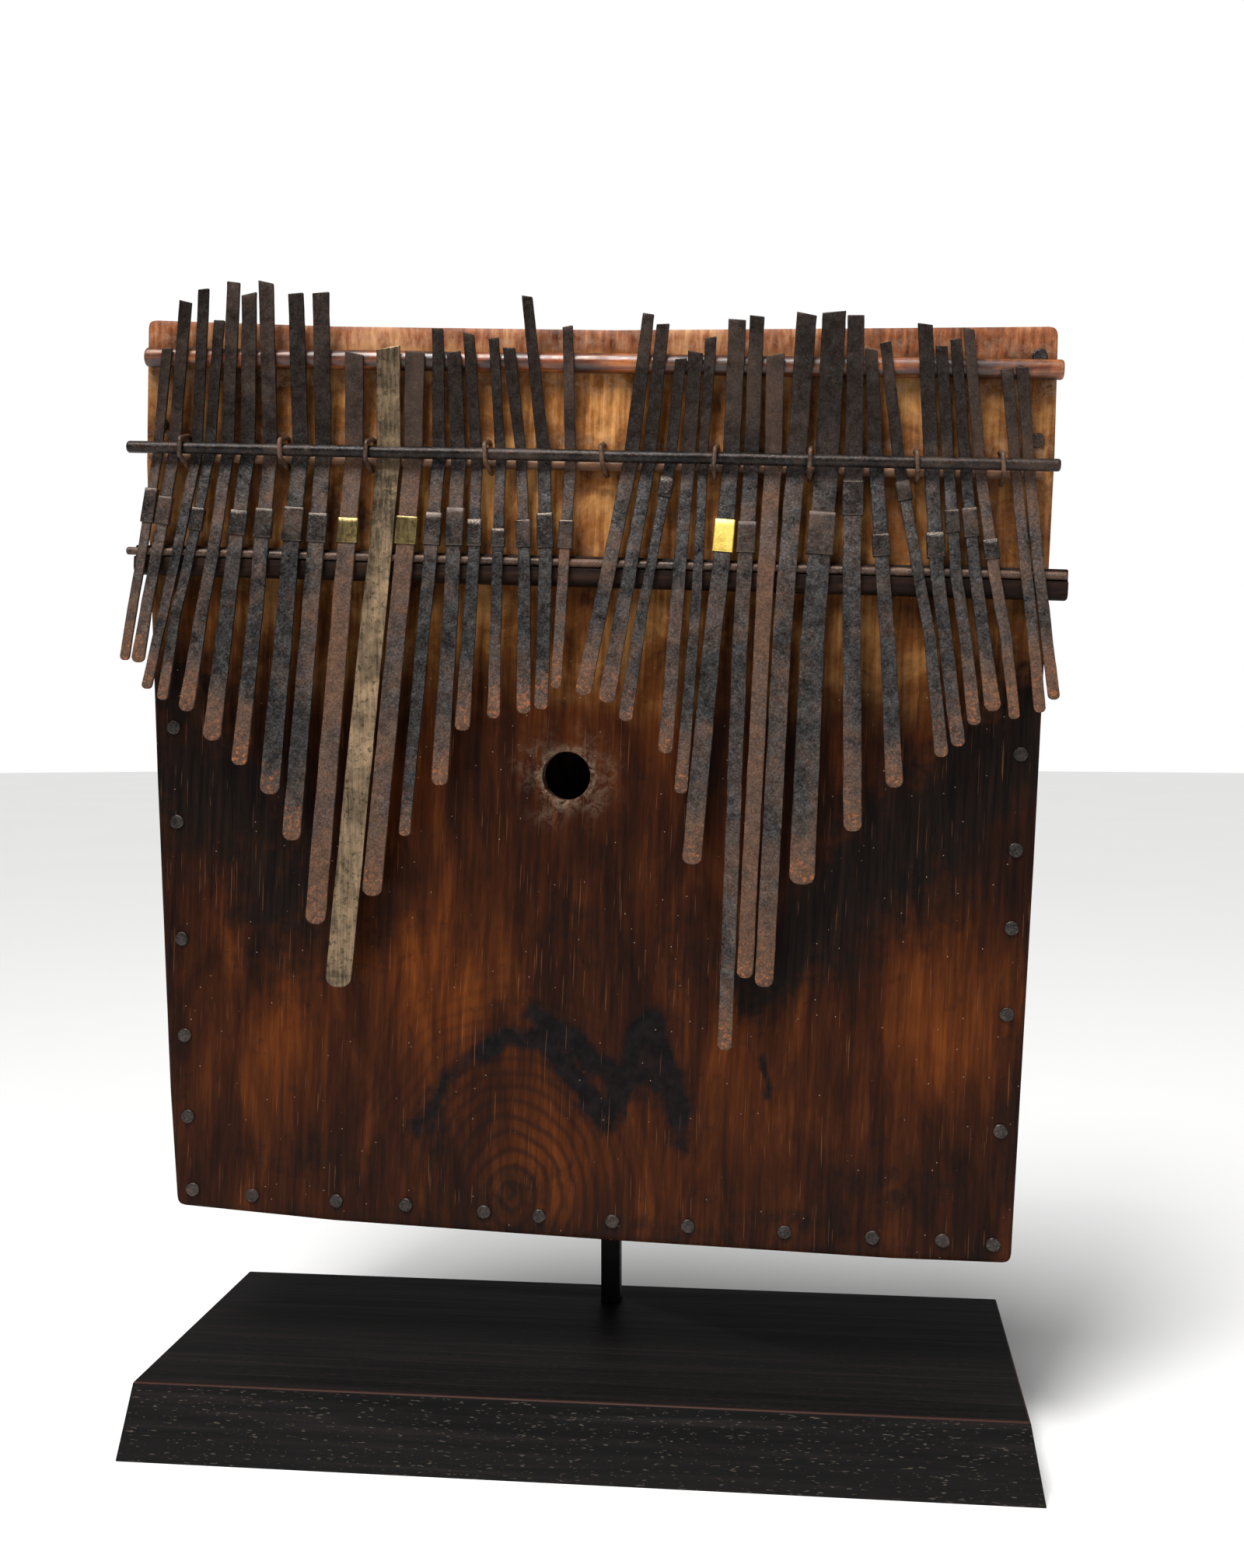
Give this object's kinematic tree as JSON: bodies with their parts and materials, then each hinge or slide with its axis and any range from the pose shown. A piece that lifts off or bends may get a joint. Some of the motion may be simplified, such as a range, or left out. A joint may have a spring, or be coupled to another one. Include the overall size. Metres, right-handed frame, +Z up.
{
  "type": "thumb piano on display stand",
  "caption": "Board-box thumb piano with forged tines over a bridge rod, pressure bar bound by wire loops, round sound hole, mounted on a black post-and-base display stand.",
  "frame": {"origin": "centre of the underside of the stand base, on the floor", "axes": "+Z up, +X to the viewer's right along the base, -Y towards the viewer, out of the soundboard"},
  "size_m": [0.3568, 0.145, 0.4428],
  "materials": {
    "carved_wood": "worn oiled hardwood, scorched and polished by handling",
    "rod_wood": "polished by handling",
    "dark_wood": "satin, blackened",
    "stained_base": "satin black stain with open pores",
    "dark_iron": "rust-brown patina",
    "tine_iron": "hand-forged, pitted and rusted",
    "old_brass": "dull aged brass",
    "bright_brass": "bright yellow brass",
    "black_steel": "matte black",
    "zinc": "plain zinc"
  },
  "bodies": {
    "stand": {"stand_base": "stained_base", "stand_post": "black_steel"},
    "instrument": {"soundboard": "carved_wood", "side_left": "carved_wood", "side_right": "carved_wood", "side_top": "carved_wood", "side_bottom": "carved_wood", "back_panel": "carved_wood", "soundboard_nails": "dark_iron", "back_panel_nails": "dark_iron", "back_bridge": "rod_wood", "under_bar": "rod_wood", "pressure_bar": "dark_iron", "bridge_bar": "dark_wood", "bridge_rod": "dark_iron", "binding_wires": "dark_iron", "inner_tie_bar": "rod_wood", "mount_plate": "black_steel", "mount_screws": "zinc"},
    "key_01": {"tine_01": "tine_iron"},
    "key_02": {"tine_02": "tine_iron"},
    "key_03": {"tine_03": "tine_iron"},
    "key_04": {"tine_04": "tine_iron"},
    "key_05": {"tine_05": "tine_iron"},
    "key_06": {"tine_06": "tine_iron"},
    "key_07": {"tine_07": "tine_iron"},
    "key_08": {"tine_08": "tine_iron"},
    "key_09": {"tine_09": "tine_iron"},
    "key_10": {"tine_10": "tine_iron", "brass_sleeve_10": "old_brass"},
    "key_11": {"tine_11": "old_brass"},
    "key_12": {"tine_12": "tine_iron", "brass_sleeve_12": "old_brass"},
    "key_13": {"tine_13": "tine_iron"},
    "key_14": {"tine_14": "tine_iron"},
    "key_15": {"tine_15": "tine_iron"},
    "key_16": {"tine_16": "tine_iron"},
    "key_17": {"tine_17": "tine_iron"},
    "key_18": {"tine_18": "tine_iron"},
    "key_19": {"tine_19": "tine_iron"},
    "key_20": {"tine_20": "tine_iron"},
    "key_21": {"tine_21": "tine_iron"},
    "key_22": {"tine_22": "tine_iron"},
    "key_23": {"tine_23": "tine_iron"},
    "key_24": {"tine_24": "tine_iron"},
    "key_25": {"tine_25": "tine_iron", "yellow_sleeve_25": "bright_brass"},
    "key_26": {"tine_26": "tine_iron"},
    "key_27": {"tine_27": "tine_iron"},
    "key_28": {"tine_28": "tine_iron"},
    "key_29": {"tine_29": "tine_iron"},
    "key_30": {"tine_30": "tine_iron"},
    "key_31": {"tine_31": "tine_iron"},
    "key_32": {"tine_32": "tine_iron"},
    "key_33": {"tine_33": "tine_iron"},
    "key_34": {"tine_34": "tine_iron"},
    "key_35": {"tine_35": "tine_iron"},
    "key_36": {"tine_36": "tine_iron"},
    "key_37": {"tine_37": "tine_iron"},
    "key_38": {"tine_38": "tine_iron"}
  },
  "joints": [
    {"name": "lift_off", "type": "slide", "parent": "stand", "child": "instrument", "axis": [0, 0, 1], "range_m": [0, 0.06]},
    {"name": "pluck_01", "type": "hinge", "parent": "instrument", "child": "key_01", "pos_m": [0.00937, -0.037, 0.33493], "axis": [0.9993, 0, -0.0366], "range_deg": [0, 1], "stiffness_Nm_per_rad": 2},
    {"name": "pluck_02", "type": "hinge", "parent": "instrument", "child": "key_02", "pos_m": [0.00937, -0.037, 0.33493], "axis": [0.9993, 0, -0.0366], "range_deg": [0, 1], "stiffness_Nm_per_rad": 2},
    {"name": "pluck_03", "type": "hinge", "parent": "instrument", "child": "key_03", "pos_m": [0.00937, -0.037, 0.33493], "axis": [0.9993, 0, -0.0366], "range_deg": [0, 1], "stiffness_Nm_per_rad": 2},
    {"name": "pluck_04", "type": "hinge", "parent": "instrument", "child": "key_04", "pos_m": [0.00937, -0.037, 0.33493], "axis": [0.9993, 0, -0.0366], "range_deg": [0, 1], "stiffness_Nm_per_rad": 2},
    {"name": "pluck_05", "type": "hinge", "parent": "instrument", "child": "key_05", "pos_m": [0.00937, -0.037, 0.33493], "axis": [0.9993, 0, -0.0366], "range_deg": [0, 1], "stiffness_Nm_per_rad": 2},
    {"name": "pluck_06", "type": "hinge", "parent": "instrument", "child": "key_06", "pos_m": [0.00937, -0.037, 0.33493], "axis": [0.9993, 0, -0.0366], "range_deg": [0, 1], "stiffness_Nm_per_rad": 2},
    {"name": "pluck_07", "type": "hinge", "parent": "instrument", "child": "key_07", "pos_m": [0.00937, -0.037, 0.33493], "axis": [0.9993, 0, -0.0366], "range_deg": [0, 1], "stiffness_Nm_per_rad": 2},
    {"name": "pluck_08", "type": "hinge", "parent": "instrument", "child": "key_08", "pos_m": [0.00937, -0.037, 0.33493], "axis": [0.9993, 0, -0.0366], "range_deg": [0, 1], "stiffness_Nm_per_rad": 2},
    {"name": "pluck_09", "type": "hinge", "parent": "instrument", "child": "key_09", "pos_m": [0.00937, -0.037, 0.33493], "axis": [0.9993, 0, -0.0366], "range_deg": [0, 1], "stiffness_Nm_per_rad": 2},
    {"name": "pluck_10", "type": "hinge", "parent": "instrument", "child": "key_10", "pos_m": [0.00937, -0.037, 0.33493], "axis": [0.9993, 0, -0.0366], "range_deg": [0, 1], "stiffness_Nm_per_rad": 2},
    {"name": "pluck_11", "type": "hinge", "parent": "instrument", "child": "key_11", "pos_m": [0.00937, -0.037, 0.33493], "axis": [0.9993, 0, -0.0366], "range_deg": [0, 1], "stiffness_Nm_per_rad": 2},
    {"name": "pluck_12", "type": "hinge", "parent": "instrument", "child": "key_12", "pos_m": [0.00937, -0.037, 0.33493], "axis": [0.9993, 0, -0.0366], "range_deg": [0, 1], "stiffness_Nm_per_rad": 2},
    {"name": "pluck_13", "type": "hinge", "parent": "instrument", "child": "key_13", "pos_m": [0.00937, -0.037, 0.33493], "axis": [0.9993, 0, -0.0366], "range_deg": [0, 1], "stiffness_Nm_per_rad": 2},
    {"name": "pluck_14", "type": "hinge", "parent": "instrument", "child": "key_14", "pos_m": [0.00937, -0.037, 0.33493], "axis": [0.9993, 0, -0.0366], "range_deg": [0, 1], "stiffness_Nm_per_rad": 2},
    {"name": "pluck_15", "type": "hinge", "parent": "instrument", "child": "key_15", "pos_m": [0.00937, -0.037, 0.33493], "axis": [0.9993, 0, -0.0366], "range_deg": [0, 1], "stiffness_Nm_per_rad": 2},
    {"name": "pluck_16", "type": "hinge", "parent": "instrument", "child": "key_16", "pos_m": [0.00937, -0.037, 0.33493], "axis": [0.9993, 0, -0.0366], "range_deg": [0, 1], "stiffness_Nm_per_rad": 2},
    {"name": "pluck_17", "type": "hinge", "parent": "instrument", "child": "key_17", "pos_m": [0.00937, -0.037, 0.33493], "axis": [0.9993, 0, -0.0366], "range_deg": [0, 1], "stiffness_Nm_per_rad": 2},
    {"name": "pluck_18", "type": "hinge", "parent": "instrument", "child": "key_18", "pos_m": [0.00937, -0.037, 0.33493], "axis": [0.9993, 0, -0.0366], "range_deg": [0, 1], "stiffness_Nm_per_rad": 2},
    {"name": "pluck_19", "type": "hinge", "parent": "instrument", "child": "key_19", "pos_m": [0.00937, -0.037, 0.33493], "axis": [0.9993, 0, -0.0366], "range_deg": [0, 1], "stiffness_Nm_per_rad": 2},
    {"name": "pluck_20", "type": "hinge", "parent": "instrument", "child": "key_20", "pos_m": [0.00937, -0.037, 0.33493], "axis": [0.9993, 0, -0.0366], "range_deg": [0, 1], "stiffness_Nm_per_rad": 2},
    {"name": "pluck_21", "type": "hinge", "parent": "instrument", "child": "key_21", "pos_m": [0.00937, -0.037, 0.33493], "axis": [0.9993, 0, -0.0366], "range_deg": [0, 1], "stiffness_Nm_per_rad": 2},
    {"name": "pluck_22", "type": "hinge", "parent": "instrument", "child": "key_22", "pos_m": [0.00937, -0.037, 0.33493], "axis": [0.9993, 0, -0.0366], "range_deg": [0, 1], "stiffness_Nm_per_rad": 2},
    {"name": "pluck_23", "type": "hinge", "parent": "instrument", "child": "key_23", "pos_m": [0.00937, -0.037, 0.33493], "axis": [0.9993, 0, -0.0366], "range_deg": [0, 1], "stiffness_Nm_per_rad": 2},
    {"name": "pluck_24", "type": "hinge", "parent": "instrument", "child": "key_24", "pos_m": [0.00937, -0.037, 0.33493], "axis": [0.9993, 0, -0.0366], "range_deg": [0, 1], "stiffness_Nm_per_rad": 2},
    {"name": "pluck_25", "type": "hinge", "parent": "instrument", "child": "key_25", "pos_m": [0.00937, -0.037, 0.33493], "axis": [0.9993, 0, -0.0366], "range_deg": [0, 1], "stiffness_Nm_per_rad": 2},
    {"name": "pluck_26", "type": "hinge", "parent": "instrument", "child": "key_26", "pos_m": [0.00937, -0.037, 0.33493], "axis": [0.9993, 0, -0.0366], "range_deg": [0, 1], "stiffness_Nm_per_rad": 2},
    {"name": "pluck_27", "type": "hinge", "parent": "instrument", "child": "key_27", "pos_m": [0.00937, -0.037, 0.33493], "axis": [0.9993, 0, -0.0366], "range_deg": [0, 1], "stiffness_Nm_per_rad": 2},
    {"name": "pluck_28", "type": "hinge", "parent": "instrument", "child": "key_28", "pos_m": [0.00937, -0.037, 0.33493], "axis": [0.9993, 0, -0.0366], "range_deg": [0, 1], "stiffness_Nm_per_rad": 2},
    {"name": "pluck_29", "type": "hinge", "parent": "instrument", "child": "key_29", "pos_m": [0.00937, -0.037, 0.33493], "axis": [0.9993, 0, -0.0366], "range_deg": [0, 1], "stiffness_Nm_per_rad": 2},
    {"name": "pluck_30", "type": "hinge", "parent": "instrument", "child": "key_30", "pos_m": [0.00937, -0.037, 0.33493], "axis": [0.9993, 0, -0.0366], "range_deg": [0, 1], "stiffness_Nm_per_rad": 2},
    {"name": "pluck_31", "type": "hinge", "parent": "instrument", "child": "key_31", "pos_m": [0.00937, -0.037, 0.33493], "axis": [0.9993, 0, -0.0366], "range_deg": [0, 1], "stiffness_Nm_per_rad": 2},
    {"name": "pluck_32", "type": "hinge", "parent": "instrument", "child": "key_32", "pos_m": [0.00937, -0.037, 0.33493], "axis": [0.9993, 0, -0.0366], "range_deg": [0, 1], "stiffness_Nm_per_rad": 2},
    {"name": "pluck_33", "type": "hinge", "parent": "instrument", "child": "key_33", "pos_m": [0.00937, -0.037, 0.33493], "axis": [0.9993, 0, -0.0366], "range_deg": [0, 1], "stiffness_Nm_per_rad": 2},
    {"name": "pluck_34", "type": "hinge", "parent": "instrument", "child": "key_34", "pos_m": [0.00937, -0.037, 0.33493], "axis": [0.9993, 0, -0.0366], "range_deg": [0, 1], "stiffness_Nm_per_rad": 2},
    {"name": "pluck_35", "type": "hinge", "parent": "instrument", "child": "key_35", "pos_m": [0.00937, -0.037, 0.33493], "axis": [0.9993, 0, -0.0366], "range_deg": [0, 1], "stiffness_Nm_per_rad": 2},
    {"name": "pluck_36", "type": "hinge", "parent": "instrument", "child": "key_36", "pos_m": [0.00937, -0.037, 0.33493], "axis": [0.9993, 0, -0.0366], "range_deg": [0, 1], "stiffness_Nm_per_rad": 2},
    {"name": "pluck_37", "type": "hinge", "parent": "instrument", "child": "key_37", "pos_m": [0.00937, -0.037, 0.33493], "axis": [0.9993, 0, -0.0366], "range_deg": [0, 1], "stiffness_Nm_per_rad": 2},
    {"name": "pluck_38", "type": "hinge", "parent": "instrument", "child": "key_38", "pos_m": [0.00937, -0.037, 0.33493], "axis": [0.9993, 0, -0.0366], "range_deg": [0, 1], "stiffness_Nm_per_rad": 2}
  ]
}
